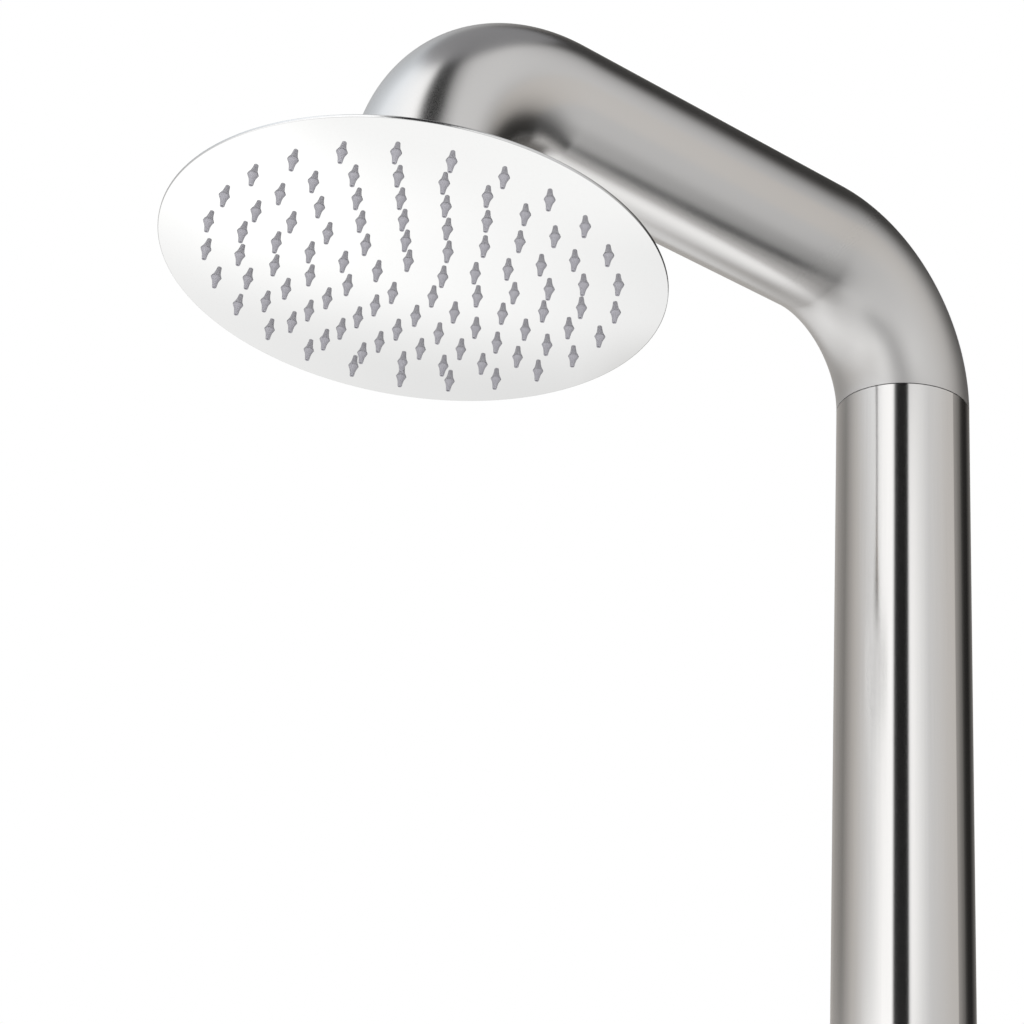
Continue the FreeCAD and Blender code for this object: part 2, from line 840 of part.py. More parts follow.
def head_boss():
    """Threaded cup on the head's back that the ball seats in."""
    body = head_body("head_boss")
    groove_r = seal_centre_r + sz.ball_seal_cord / 2 + sz.seal_gap
    lip_r = seal_centre_r - sz.ball_seal_cord / 2 - sz.seal_gap
    groove_floor = seal_depth + sz.ball_seal_cord / 2 + sz.seal_gap
    pilot_end = boss_foot + sz.boss_pilot_length
    disc(body, sz.boss_thread_od / 2, sz.boss_top, boss_foot)
    disc(body, sz.boss_flange_od / 2, boss_flange_top, boss_foot)
    disc(body, sz.boss_pilot_od / 2, boss_foot, pilot_end)
    primitive(body, "SubtractiveSphere", Radius=cup_r)
    bore(body, groove_r, seal_depth - sz.ball_seal_cord / 2, groove_floor)
    disc(body, lip_r, groove_floor - sz.ball_seal_cord / 3, groove_floor)
    bore(body, sz.boss_bore / 2, sz.boss_top, pilot_end)


def ball_seal():
    """O-ring under the ball."""
    body = head_body("ball_seal")
    primitive(body, "AdditiveTorus", (0, 0, seal_depth),
              Radius1=seal_centre_r, Radius2=sz.ball_seal_cord / 2)


def head_back_plate():
    """Pressed sheet that closes the head: a flat flange round a shallow water chamber."""
    body = head_body("head_back_plate")
    hole_r = sz.boss_pilot_od / 2 + sz.lay_gap
    wall_r = sz.chamber_od / 2
    foot_r = wall_r + sz.chamber_foot
    shoulder_depth = sz.roof_depth + sz.roof_fall
    foot_depth = dome_depth(mat_outer_r, foot_r)
    edge_depth = dome_depth(mat_outer_r, back_r)
    turned(body, [
        (hole_r, sz.roof_depth),
        (wall_r, shoulder_depth),
        (foot_r, foot_depth - sz.back_wall),
        (back_r, edge_depth - sz.back_wall),
        (back_r, edge_depth),
        (foot_r - sz.back_wall, dome_depth(mat_outer_r, foot_r - sz.back_wall)),
        (wall_r - sz.back_wall, shoulder_depth + sz.back_wall),
        (hole_r, sz.roof_depth + sz.back_wall),
    ])


def ring_seats():
    """Each nozzle ring: its count, the place of its first nozzle and the face's depth there."""
    for number, name in enumerate(RINGS, start=1):
        radius = sz.ring_pitch * number
        place = (radius * cosine(sz.nozzle_phase), radius * sine(sz.nozzle_phase))
        yield getattr(sz, name), place, dome_depth(dome_r, radius)


def nozzle_mat():
    """Silicone mat on the face's inside, flat under each nozzle ring, with a nozzle in every hole."""
    body = head_body("nozzle_mat")
    mat_r = sz.mat_od / 2
    inner_r = mat_r - sz.bead_width
    bead_depth = sz.roof_depth + sz.roof_fall + sz.back_wall + sz.lay_gap
    lands = []
    for number in range(1, len(RINGS) + 1):
        middle = sz.ring_pitch * number
        start = 0 if number == 1 else middle - sz.land_width / 2
        stop = mat_r if number == len(RINGS) else middle + sz.land_width / 2
        depth = dome_depth(mat_outer_r, stop)
        lands += [(start, depth), (stop, depth)]
    inside = [(place, depth - sz.mat_wall) for place, depth in lands]
    inside[-1] = (inner_r, inside[-1][1])
    turned(body, [*lands, (mat_r, bead_depth), (inner_r, bead_depth), *reversed(inside)])
    for count, place, face_depth in ring_seats():
        root_depth = face_depth - sz.face_wall - sz.mat_wall / 2
        collar_depth = face_depth + sz.nozzle_collar
        neck_depth = face_depth + sz.nozzle_neck_drop
        tip_depth = face_depth + sz.nozzle_length
        nozzle = turned(body, [
            (0, root_depth),
            (sz.nozzle_base / 2, root_depth),
            (sz.nozzle_base / 2, collar_depth),
            (sz.nozzle_neck / 2, neck_depth),
            (sz.nozzle_tip / 2, tip_depth),
            (0, tip_depth),
        ], at=place)
        around(body, nozzle, count)
        jet = bore(body, sz.nozzle_bore / 2, root_depth - sz.mat_wall, tip_depth, place)
        around(body, jet, count)


def face_plate():
    """Polished face, domed a little downwards, with a turned-up rim and a hole for each nozzle."""
    body = head_body("face_plate")
    rim_inner_r = head_r - sz.rim_wall
    rim_top = sz.rim_depth - sz.rim_height
    turned(body, [
        (0, pole_depth),
        (head_r, sz.rim_depth),
        (head_r, rim_top),
        (rim_inner_r, rim_top),
        (rim_inner_r, dome_depth(face_inner_r, rim_inner_r)),
        (0, dome_depth(face_inner_r, size_of(0))),
    ], {0: ((0, dome_centre), dome_r), 4: ((0, dome_centre), face_inner_r)})
    hole_r = sz.nozzle_base / 2 + sz.nozzle_gap
    for count, place, face_depth in ring_seats():
        hole = bore(body, hole_r, face_depth - sz.face_wall * 2, face_depth + sz.face_wall, place)
        around(body, hole, count)


# ---------------------------------------------------------------- valve
# Distances along the valve's axis are measured forwards from the column's axis.

valve_at = (0, 0, sz.valve_height)
barrel_half = sz.valve_barrel_length / 2
seal_front = sz.cavity_floor + sz.seat_seal_thick
fixed_front = seal_front + sz.disc_thick
turning_back = fixed_front + sz.disc_gap
turning_front = turning_back + sz.disc_thick
fork_back = turning_front
fork_front = fork_back + sz.fork_length
housing_front = seal_front + sz.housing_length
chamber_front = seal_front + sz.housing_bore_length
hub_back = sz.collar_reach + sz.lever_gap
hub_front = hub_back + sz.hub_length
spindle_front = fork_front + sz.spindle_length
web_front = spindle_front + sz.thread_gap + sz.hub_web
spindle_r = sz.spindle_od / 2


def front_rod(radius, start, stop):
    """A cylinder along the valve's axis."""
    return rod(radius, start, stop, FRONT, valve_at)


def front_spot(distance, across=0, rise=0):
    """A point in front of the column's axis, at the valve's height."""
    return (across, -size_of(distance), sz.valve_height + rise)


def cope(radius, reach_out, wall_r, turn, height):
    """A stub from the column's axis outwards, its end cut round to fit the column's inside wall."""
    stub = rod(radius, size_of(0), reach_out, turn, (0, 0, height))
    return common(stub, column(wall_r, height, radius * 2))


def valve_body():
    """Brass body inside the column; its front boss comes out through the wall."""
    barrel = rod(sz.valve_barrel_od / 2, -barrel_half, barrel_half, at=valve_at)
    shoulder = cope(sz.valve_shoulder_od / 2, tube_r, tube_inner_r - sz.lay_gap, FRONT, sz.valve_height)
    boss = front_rod(sz.valve_boss_od / 2, size_of(0), sz.valve_boss_reach)
    rear = (0, sz.hose_offset, sz.valve_height)
    outlet_front = (0, -sz.outlet_channel_reach, sz.valve_height)
    channel_r = sz.channel_bore / 2
    cross_r = sz.cross_bore / 2
    port_r = sz.fitting_thread / 2 + sz.thread_gap
    port_floor = barrel_half - sz.port_depth
    cuts = [
        front_rod(sz.cavity_od / 2, sz.cavity_floor, sz.valve_boss_reach),
        rod(port_r, -barrel_half, -port_floor, at=rear),
        rod(channel_r, -port_floor, channel_r, at=rear),
        front_rod(cross_r, -sz.hose_offset, sz.cavity_floor),
        rod(channel_r, size_of(0), sz.cross_channel_rise, at=outlet_front),
        rod(cross_r, -sz.outlet_channel_reach, sz.hose_offset, REAR,
            (0, 0, sz.valve_height + sz.cross_channel_rise)),
        rod(port_r, port_floor, barrel_half, at=rear),
    ]
    node("valve_body", minus(together([barrel, shoulder, boss]), cuts))


def saddle(label, outer_r, bore_r, inner_wall_r, front, turn, height):
    """A ring on the outside of the column, its back cut round to fit and its front flat."""
    ring = minus(
        rod(outer_r, size_of(0), front, turn, (0, 0, height)),
        [
            column(inner_wall_r, height, outer_r * 2),
            rod(bore_r, size_of(0), front, turn, (0, 0, height)),
        ],
    )
    node(label, ring)


def saddle_seal(label, outer_r, bore_r, turn, height):
    """A thin rubber sheet between the column and a saddle, bent to the column."""
    outer_wall_r = tube_r + sz.saddle_seal_thick
    sheet_ring = minus(
        common(
            rod(outer_r, size_of(0), outer_wall_r, turn, (0, 0, height)),
            column(outer_wall_r, height, outer_r * 2),
        ),
        [
            column(tube_r, height, outer_r * 2),
            rod(bore_r, size_of(0), outer_wall_r, turn, (0, 0, height)),
        ],
    )
    node(label, sheet_ring)


def valve_collar_and_seal():
    """Round collar screwed on the boss from outside, with its seal against the column."""
    bore_r = sz.valve_boss_od / 2 + sz.thread_gap
    saddle("valve_collar", sz.collar_od / 2, bore_r, tube_r + sz.saddle_seal_thick,
           sz.collar_reach, FRONT, sz.valve_height)
    saddle_seal("collar_seal", sz.collar_od / 2 - sz.saddle_seal_thick, bore_r, FRONT, sz.valve_height)


def cartridge_housing():
    """Brass shell round the discs, with a water window at each side."""
    bore_r = sz.disc_od / 2 + sz.disc_gap
    seal_half = sz.spindle_seal_cord / 2 + sz.seal_gap
    groove_r = spindle_r + sz.spindle_seal_cord + sz.seal_gap * 2
    cuts = [
        front_rod(bore_r, seal_front, chamber_front),
        front_rod(spindle_r + sz.thread_gap, chamber_front, housing_front),
        front_rod(groove_r, sz.spindle_seal_reach - seal_half, sz.spindle_seal_reach + seal_half),
    ]
    window_at = front_spot(seal_front + sz.window_reach)
    half = sz.cavity_od / 2
    cuts.append(rod(sz.window_bore / 2, -half, half, SIDE, window_at))
    shell = front_rod(sz.cavity_od / 2 - sz.thread_gap, seal_front, housing_front)
    node("cartridge_housing", minus(shell, cuts))


def disc_ports(start, stop):
    """The two round ports of a ceramic disc."""
    ports = []
    for side in (-1, 1):
        place = front_spot(0, sz.disc_port_offset * side)
        ports.append(rod(sz.disc_port / 2, start, stop, FRONT, place))
    return ports


def cartridge_discs():
    """A fixed and a turning ceramic disc, and the rubber ring that seals them in the body."""
    disc_r = sz.disc_od / 2
    seal_bore = sz.channel_bore / 2 + sz.thread_gap
    node("seat_seal", minus(front_rod(disc_r, sz.cavity_floor, seal_front),
                            [front_rod(seal_bore, sz.cavity_floor, seal_front)]))
    node("fixed_disc", minus(front_rod(disc_r, seal_front, fixed_front),
                             disc_ports(seal_front, fixed_front)))
    node("turning_disc", minus(front_rod(disc_r, turning_back, turning_front),
                               disc_ports(turning_back, turning_front)))


def spindle():
    """Turns the upper disc; the lever is screwed to its front end."""
    fork = minus(front_rod(sz.disc_od / 2, fork_back, fork_front), disc_ports(fork_back, fork_front))
    stem = front_rod(spindle_r, fork_front, spindle_front)
    tapped = front_rod(sz.lever_screw_od / 2 + sz.thread_gap,
                       spindle_front - sz.lever_screw_length, spindle_front)
    node("spindle", minus(together([fork, stem]), [tapped]))


def spindle_seal():
    """O-ring on the spindle."""
    ring = solid("Torus", front_spot(sz.spindle_seal_reach), FRONT,
                 Radius1=spindle_r + sz.spindle_seal_cord / 2 + sz.seal_gap,
                 Radius2=sz.spindle_seal_cord / 2)
    node("spindle_seal", ring)


def cartridge_nut():
    """Ring screwed into the boss, which presses the cartridge home."""
    start = housing_front + sz.lay_gap
    ring = minus(
        front_rod(sz.cavity_od / 2 - sz.thread_gap, start, start + sz.gland_length),
        [front_rod(spindle_r + sz.hole_gap, start, start + sz.gland_length)],
    )
    node("cartridge_nut", ring)


def lever_handle():
    """Round hub with a tapered lever that hangs down when the water is shut."""
    body = new_body("lever_handle", valve_at, FRONT)
    middle = hub_back + sz.hub_length / 2
    hub = disc(body, sz.hub_od / 2, hub_back, hub_front)
    doc.recompute([hub])
    rims = [f"Edge{number}" for number, edge in enumerate(hub.Shape.Edges, start=1)
            if isinstance(edge.Curve, Part.Circle)]
    rounded = body.newObject("PartDesign::Fillet", "hub_round")
    rounded.Base = (hub, rims)
    bind(rounded, "Radius", sz.hub_round)
    primitive(body, "AdditiveCone", (0, 0, middle), REAR.inverted(),
              Radius1=sz.lever_root_od / 2, Radius2=sz.lever_tip_od / 2, Height=sz.lever_reach)
    primitive(body, "AdditiveSphere", (0, -sz.lever_reach, middle), Radius=sz.lever_tip_od / 2)
    bore(body, spindle_r + sz.thread_gap, hub_back, spindle_front + sz.thread_gap)
    bore(body, sz.lever_screw_od / 2 + sz.thread_gap, hub_back, web_front)
    bore(body, sz.hub_recess_od / 2, web_front, hub_front)


def lever_screw():
    """Cap screw that holds the hub on the spindle."""
    head_r = sz.lever_screw_head / 2
    head_front = web_front + sz.lever_screw_head_height
    start = spindle_front - sz.lever_screw_length + sz.thread_gap
    socket = hexagon(sz.screw_socket, head_front - sz.screw_socket_depth, head_front, FRONT, valve_at)
    body = together([
        front_rod(sz.lever_screw_od / 2, start, web_front),
        front_rod(head_r, web_front, head_front),
    ])
    node("lever_screw", minus(body, [socket]))


def lever_cap():
    """Snap-in disc that covers the screw."""
    cap_r = sz.hub_recess_od / 2 - sz.lay_gap
    node("lever_cap", front_rod(cap_r, hub_front - sz.cap_disc_thick, hub_front))


# ---------------------------------------------------------------- water inlet
# Distances along the inlet's axis are measured backwards from the column's axis.

inlet_at = (0, 0, sz.inlet_height)
hex_back = sz.inlet_saddle_reach + sz.inlet_hex_length
thread_end = hex_back + sz.inlet_thread_length
elbow_top = sz.inlet_height + sz.elbow_rise


def rear_rod(radius, start, stop):
    """A cylinder along the inlet's axis."""
    return rod(radius, start, stop, REAR, inlet_at)


def inlet_elbow():
    """Brass elbow inside the column, clamped to its wall by the nipple."""
    rear = (0, sz.hose_offset, sz.inlet_height)
    barrel = rod(sz.elbow_barrel_od / 2, -sz.elbow_fall, sz.elbow_rise, at=rear)
    arm = common(
        rear_rod(sz.elbow_arm_od / 2, sz.hose_offset, tube_r),
        column(tube_inner_r - sz.lay_gap, sz.inlet_height, sz.elbow_arm_od),
    )
    port_r = sz.fitting_thread / 2 + sz.thread_gap
    cuts = [
        rear_rod(sz.inlet_shank_od / 2 + sz.thread_gap, sz.inlet_shank_start - sz.thread_gap, tube_r),
        rod(sz.channel_bore / 2, size_of(0), sz.elbow_rise, at=rear),
        rear_rod(sz.cross_bore / 2, sz.hose_offset, sz.inlet_shank_start),
        rod(port_r, sz.elbow_rise - sz.port_depth, sz.elbow_rise, at=rear),
    ]
    node("inlet_elbow", minus(together([barrel, arm]), cuts))


def inlet_saddle_and_seal():
    """Steel saddle and rubber seal where the nipple leaves the column."""
    bore_r = sz.inlet_shank_od / 2 + sz.hole_gap
    saddle("inlet_saddle", sz.inlet_saddle_od / 2, bore_r, tube_r + sz.saddle_seal_thick,
           sz.inlet_saddle_reach, REAR, sz.inlet_height)
    saddle_seal("inlet_seal", sz.inlet_saddle_od / 2 - sz.saddle_seal_thick, bore_r, REAR,
                sz.inlet_height)


def inlet_nipple():
    """Half-inch male nipple for the garden supply."""
    body = new_body("inlet_nipple", inlet_at, REAR)
    disc(body, sz.inlet_shank_od / 2, sz.inlet_shank_start, sz.inlet_saddle_reach)
    primitive(body, "AdditivePrism", (0, 0, sz.inlet_saddle_reach), sides=6,
              Circumradius=sz.inlet_flats / hex_factor, Height=sz.inlet_hex_length)
    disc(body, sz.inlet_thread_od / 2, hex_back, thread_end)
    bore(body, sz.inlet_bore / 2, sz.inlet_shank_start, thread_end)


# ---------------------------------------------------------------- hoses

barrel_bottom = sz.valve_height - barrel_half
barrel_top = sz.valve_height + barrel_half
hose_ends = {
    "supply": ((sz.hose_offset, elbow_top, 1), (sz.hose_offset, barrel_bottom, -1)),
    "riser": ((sz.hose_offset, barrel_top, 1), (-reach, sz.seam_height + connector_top, 1)),
}


def up_rod(radius, start, stop, across, face, way):
    """A vertical cylinder measured from a port's face, upwards or downwards as way says."""
    low, high = (start, stop) if way > 0 else (-stop, -start)
    return rod(radius, low, high, at=(0, across, face))


def hose_fitting(across, face, way):
    """Threaded end with a hexagon and a barb inside the hose."""
    hex_end = sz.fitting_hex_length
    thread_start = sz.lay_gap - sz.port_depth
    low, high = (size_of(0), hex_end) if way > 0 else (-hex_end, size_of(0))
    barb_end = hex_end + sz.barb_length
    fitting = together([
        up_rod(sz.fitting_thread / 2, thread_start, size_of(0), across, face, way),
        hexagon(sz.fitting_flats, low, high, at=(0, across, face)),
        up_rod(sz.hose_bore / 2 - sz.thread_gap, hex_end, barb_end, across, face, way),
    ])
    return minus(fitting, [up_rod(sz.fitting_bore / 2, thread_start, barb_end, across, face, way)])


def hose_ferrule(across, face, way):
    """Crimped sleeve round the hose's end."""
    start = sz.fitting_hex_length
    stop = start + sz.ferrule_length
    hose_r = sz.hose_od / 2 + sz.lay_gap
    return minus(up_rod(hose_r + sz.ferrule_wall, start, stop, across, face, way),
                 [up_rod(hose_r, start, stop, across, face, way)])


def hose_fittings():
    for hose, ends in hose_ends.items():
        node(f"{hose}_fittings", group([hose_fitting(*end) for end in ends]))
        node(f"{hose}_ferrules", group([hose_ferrule(*end) for end in ends]))


def supply_hose():
    """Straight hose from the inlet elbow up to the valve."""
    start = elbow_top + sz.fitting_hex_length
    body = new_body("supply_hose", (0, sz.hose_offset, start))
    straight_tube(body, sz.hose_od, sz.hose_bore, barrel_bottom - sz.fitting_hex_length - start)


def riser_hose():
    """Hose from the valve up the column, over through the arm and down to the outlet."""
    start = barrel_top + sz.fitting_hex_length
    body = new_body("riser_hose", (0, sz.hose_offset, start))
    over = reach + sz.hose_offset
    rise = sz.seam_height + sz.riser_height - start
    fall = sz.riser_height - connector_top - sz.fitting_hex_length
    bent_tube(body, sz.hose_od, sz.hose_bore, over, rise, fall, (sz.riser_turn, sz.outlet_turn))


# ---------------------------------------------------------------- build, check and write


def build():
    fill_sheet()
    for piece in (
        base_flange, base_screws, post_tube, joint_sleeve, joint_screws, joint_seal, arm_tube,
        arm_end_cap, outlet_connector, filter_washer, filter_screen, flow_disc, stem_washer, ball_stem,
        ball_liner, swivel_nut, head_boss, ball_seal, head_back_plate, nozzle_mat, face_plate,
        valve_body, valve_collar_and_seal, cartridge_housing, cartridge_discs, spindle, spindle_seal,
        cartridge_nut, lever_handle, lever_screw, lever_cap,
        inlet_elbow, inlet_saddle_and_seal, inlet_nipple, hose_fittings, supply_hose, riser_hose,
    ):
        piece()
    doc.recompute()


def check():
    """Stops if an object failed, a feature changed nothing or a piece is not a sound solid."""
    for item in doc.Objects:
        if "Invalid" in item.State or "Error" in item.State:
            raise RuntimeError(f"{item.Name} ({item.Label}) failed: {item.State}")
        feature = item.isDerivedFrom("PartDesign::Feature") and item.BaseFeature
        if feature and abs(item.Shape.Volume - item.BaseFeature.Shape.Volume) < SMALLEST_CHANGE:
            raise RuntimeError(f"{item.Name} changes nothing")
    for piece in nodes:
        if piece.Shape.isNull() or not piece.Shape.isValid() or not piece.Shape.Solids:
            raise RuntimeError(f"{piece.Label} is not a sound solid")


def write():
    os.makedirs("parts", exist_ok=True)
    for piece in nodes:
        piece.Shape.exportStep(f"parts/{piece.Label}.step")
        count = len(piece.Shape.Solids)
        print(f"{piece.Label}: {count} solid(s), {piece.Shape.Volume / 1000:.1f} cm3")


build()
check()
write()
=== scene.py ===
import json
from math import cos, hypot, pi, radians, sin, sqrt

import bpy
from mathutils import Matrix, Vector
from mathutils.geometry import delaunay_2d_cdt


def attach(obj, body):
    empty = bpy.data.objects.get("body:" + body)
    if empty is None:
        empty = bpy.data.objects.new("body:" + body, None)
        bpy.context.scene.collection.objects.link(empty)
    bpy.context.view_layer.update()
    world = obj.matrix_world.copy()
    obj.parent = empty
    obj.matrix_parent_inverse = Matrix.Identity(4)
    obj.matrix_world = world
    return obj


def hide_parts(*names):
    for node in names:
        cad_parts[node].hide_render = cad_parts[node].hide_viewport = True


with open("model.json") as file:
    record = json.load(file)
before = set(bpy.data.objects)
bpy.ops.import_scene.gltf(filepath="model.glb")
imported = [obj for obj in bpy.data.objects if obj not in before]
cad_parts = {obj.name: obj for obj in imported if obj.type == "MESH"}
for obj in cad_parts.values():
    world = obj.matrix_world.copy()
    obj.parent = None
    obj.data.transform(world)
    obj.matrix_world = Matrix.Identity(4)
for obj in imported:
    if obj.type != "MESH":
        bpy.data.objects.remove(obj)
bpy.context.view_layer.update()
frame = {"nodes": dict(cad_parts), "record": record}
nodes = frame["nodes"]

# All sizes are in metres. The column's axis is Z and the arm reaches along -Y.
ACROSS = Vector((1, 0, 0))
REARWARD = Vector((0, 1, 0))
TUBE_R = 0.030
TUBE_WALL = 0.0015
SEAM_Z = 2.108
BEND_R = 0.062
REACH = 0.280

# The head's own frame starts at the ball's centre, and its depth runs down along the head's axis.
BALL_DROP = 0.022
HEAD_TURN = Matrix.Rotation(radians(175), 4, "X")
HEAD_PLACE = Matrix.Translation((0, -REACH, SEAM_Z - BALL_DROP)) @ HEAD_TURN
HEAD_R = 0.100
RIM_DEPTH = 0.019
RIM_HEIGHT = 0.0011
RIM_WALL = 0.0010
RIM_ROUND = 0.00035
RIM_CHAMFER = 0.00015
DOME_RISE = 0.0042
DOME_R = (HEAD_R * HEAD_R + DOME_RISE * DOME_RISE) / (2 * DOME_RISE)
DOME_CENTRE = RIM_DEPTH + DOME_RISE - DOME_R
FACE_WALL = 0.0008
LAY_GAP = 0.0001
RING_PITCH = 0.0135
RING_COUNTS = (5, 10, 15, 20, 25, 25)
NOZZLE_PHASE = radians(42.7)
HOLE_R = 0.00215
MAT_R = 0.0855
MAT_WALL = 0.0015
MAT_TOP = 0.0172
BEAD_WIDTH = 0.003


# ---------------------------------------------------------------- camera

def add_camera():
    """The photograph's viewpoint: below the arm, to the right of the head."""
    place = (0.73546, -0.81514, 1.56284)
    azimuth, pitch, roll = radians(51.22), radians(24.02), radians(3.698)
    forward = Vector((-sin(azimuth) * cos(pitch), cos(azimuth) * cos(pitch), sin(pitch)))
    level = Vector((cos(azimuth), sin(azimuth), 0))
    raised = level.cross(forward)
    right = cos(roll) * level + sin(roll) * raised
    up = cos(roll) * raised - sin(roll) * level
    data = bpy.data.cameras.new("camera")
    data.sensor_width = 36
    data.lens = 93.45
    data.clip_start = 0.01
    camera = bpy.data.objects.new("camera", data)
    turn = Matrix((right, up, -forward)).transposed().to_4x4()
    camera.matrix_world = Matrix.Translation(place) @ turn
    bpy.context.scene.collection.objects.link(camera)
    bpy.context.scene.camera = camera


# ---------------------------------------------------------------- node helpers

class Tree:
    """A short way to write a node tree."""

    def __init__(self, tree):
        self.tree = tree
        tree.nodes.clear()

    def add(self, kind, inputs=None, **settings):
        node = self.tree.nodes.new(kind)
        for name, value in settings.items():
            setattr(node, name, value)
        for name, value in (inputs or {}).items():
            if isinstance(value, bpy.types.NodeSocket):
                self.tree.links.new(value, node.inputs[name])
            else:
                node.inputs[name].default_value = value
        return node

    def math(self, operation, *values):
        node = self.add("ShaderNodeMath", dict(enumerate(values)), operation=operation)
        return node.outputs[0]

    def between(self, value, start, stop, low=0.0, high=1.0):
        """low before start, high after stop and a smooth change between them."""
        inputs = {0: value, 1: start, 2: stop, 3: low, 4: high}
        node = self.add("ShaderNodeMapRange", inputs, interpolation_type="SMOOTHSTEP")
        return node.outputs[0]

    def ramp(self, value, stops):
        node = self.add("ShaderNodeValToRGB", {"Fac": value})
        elements = node.color_ramp.elements
        while len(elements) < len(stops):
            elements.new(0.5)
        for element, (position, colour) in zip(elements, stops):
            element.position = position
            element.color = (*colour, 1)
        return node.outputs["Color"]

    def mix(self, factor, one, two):
        node = self.add("ShaderNodeMix", {0: factor, 6: one, 7: two}, data_type="RGBA")
        return node.outputs[2]

    def glow(self, kind, colour, strength):
        """A light of one kind: the world's background or a surface's emission."""
        return self.add(kind, {"Color": colour, "Strength": strength}).outputs[0]

    def blend(self, share, one, two):
        return self.add("ShaderNodeMixShader", {0: share, 1: one, 2: two}).outputs[0]

    def link(self, value, node, name):
        self.tree.links.new(value, node.inputs[name])


def new_material(name):
    made = bpy.data.materials.new(name)
    made.use_nodes = True
    return made, Tree(made.node_tree)


def linear(*srgb):
    return tuple(c / 12.92 if c <= 0.04045 else ((c + 0.055) / 1.055) ** 2.4 for c in srgb)


# ---------------------------------------------------------------- meshes

def new_object(name, mesh, *materials):
    piece = bpy.data.objects.new(name, mesh)
    bpy.context.scene.collection.objects.link(piece)
    for one in materials:
        mesh.materials.append(one)
    return piece


def flat(rows):
    return [point for row in rows for point in row]


def strips(rows):
    """Faces between closed rows of points of the same length."""
    width = len(rows[0])
    faces = []
    for i in range(len(rows) - 1):
        here, there = i * width, (i + 1) * width
        for j in range(width):
            k = (j + 1) % width
            faces.append((here + j, here + k, there + k, there + j))
    return faces


def new_mesh(name, points, faces, sharp_angle=radians(40)):
    """A smooth mesh with sharp edges where its faces meet at more than an angle."""
    mesh = bpy.data.meshes.new(name)
    mesh.from_pydata([tuple(p) for p in points], [], faces)
    mesh.update()
    mesh.shade_smooth()
    mesh.set_sharp_from_angle(angle=sharp_angle)
    return mesh


def ring(centre, radius, count, across=ACROSS, up=REARWARD):
    """A circle of points, level unless another direction is given for up."""
    turns = (2 * pi * i / count for i in range(count))
    return [centre + radius * (cos(t) * across + sin(t) * up) for t in turns]


# ---------------------------------------------------------------- studio

WHITE = (1, 1, 1, 1)
BLACK = (0, 0, 0, 1)
TENT_R = 1.2
TENT_Z = 5.2
TENT_GAIN = 2.4
WARM_TINT = (0.045, 0.0, -0.05)

# The tent fades over these heights by this share, and the floor over these distances from the
# column, where the share is how much of it is plain white.
TENT_FADE = dict(start=4.3, stop=5.0, low=0.0, high=0.4)
FLOOR_FADE = dict(start=1.0, stop=4.5, low=0.4, high=1.0)

# Light that the steel finds on the tent's wall: (degrees, level, warmth) at five heights.
# 0 is the front (-Y), 90 is +X and 180 the back. A black flag hangs near 30 to 50 degrees.
# Many of these levels go back to tones read off the photograph.
FOOT_WALL = [
    (-180, 0.01, 0), (-176, 0.02, 0), (-170, 0.5, 0), (-163, 1.3, 0), (-150, 1.6, 0),
    (-135, 1.3, 0), (27, 1.25, 0), (30, 0.05, 0), (50, 0.05, 0), (53, 1.3, 0), (66, 1.0, 0),
    (120, 0.8, 0), (140, 0.65, 0), (150, 0.45, 0), (154, 0.02, 0), (180, 0.01, 0),
]
LOW_WALL = [
    (-180, 0.1, 0), (-171, 0.3, 0), (-160, 1.1, 0), (-152, 1.5, 0), (-142, 1.5, 0), (-135, 1.1, 0),
    (-95, 1.5, 0), (-60, 1.3, 0), (0, 1.2, 0), (27, 1.3, 0), (30, 0.05, 0), (50, 0.05, 0),
    (53, 1.3, 0), (66, 1.0, 0), (115, 0.8, 0), (150, 0.4, 0), (157, 0.1, 0), (180, 0.1, 0),
]
WAIST_WALL = [
    (-180, 0.1, 1), (-150, 0.25, 1), (-129, 0.4, 1), (-123, 1.0, 0), (-90, 1.2, 0), (-60, 1.0, 0),
    (-30, 1.1, 0), (-18, 2.0, 0), (27, 2.0, 0), (30, 0.05, 0), (50, 0.05, 0), (53, 1.3, 0),
    (66, 1.0, 0), (90, 0.85, 0), (130, 0.8, 0), (150, 0.3, 0), (160, 0.1, 0), (180, 0.1, 0),
]
MIDDLE_WALL = [
    (-180, 0.03, 1), (-158, 0.2, 1), (-125, 0.5, 1), (-90, 0.4, 1), (-72, 0.3, 1), (-45, 0.7, 1),
    (-10, 1.1, 0), (10, 1.6, 0), (27, 1.7, 0), (29, 0.015, 0), (50.5, 0.015, 0), (52.5, 1.7, 0),
    (85, 1.0, 0), (130, 0.8, 1), (147, 0.5, 1), (157, 0.1, 1), (165, 0.03, 1), (180, 0.02, 1),
]
HIGH_WALL = [
    (-180, 0.03, 1), (-140, 0.07, 1), (-128, 0.2, 1), (-112, 0.5, 0), (-60, 0.85, -1),
    (-40, 1.1, -1), (-28, 1.4, -1), (23, 1.7, 0), (29, 0.5, 0), (33, 0.02, 0), (56, 0.02, 0),
    (66, 0.6, 0), (80, 0.95, 0), (115, 0.95, 0), (135, 0.65, 0), (155, 0.1, 1), (165, 0.04, 1),
    (180, 0.03, 1),
]

# Each light above the foot's, with the heights between which it takes over.
UPPER_WALLS = [
    (0.65, 0.95, LOW_WALL), (1.15, 1.5, WAIST_WALL), (1.98, 2.06, MIDDLE_WALL),
    (2.72, 2.85, HIGH_WALL),
]


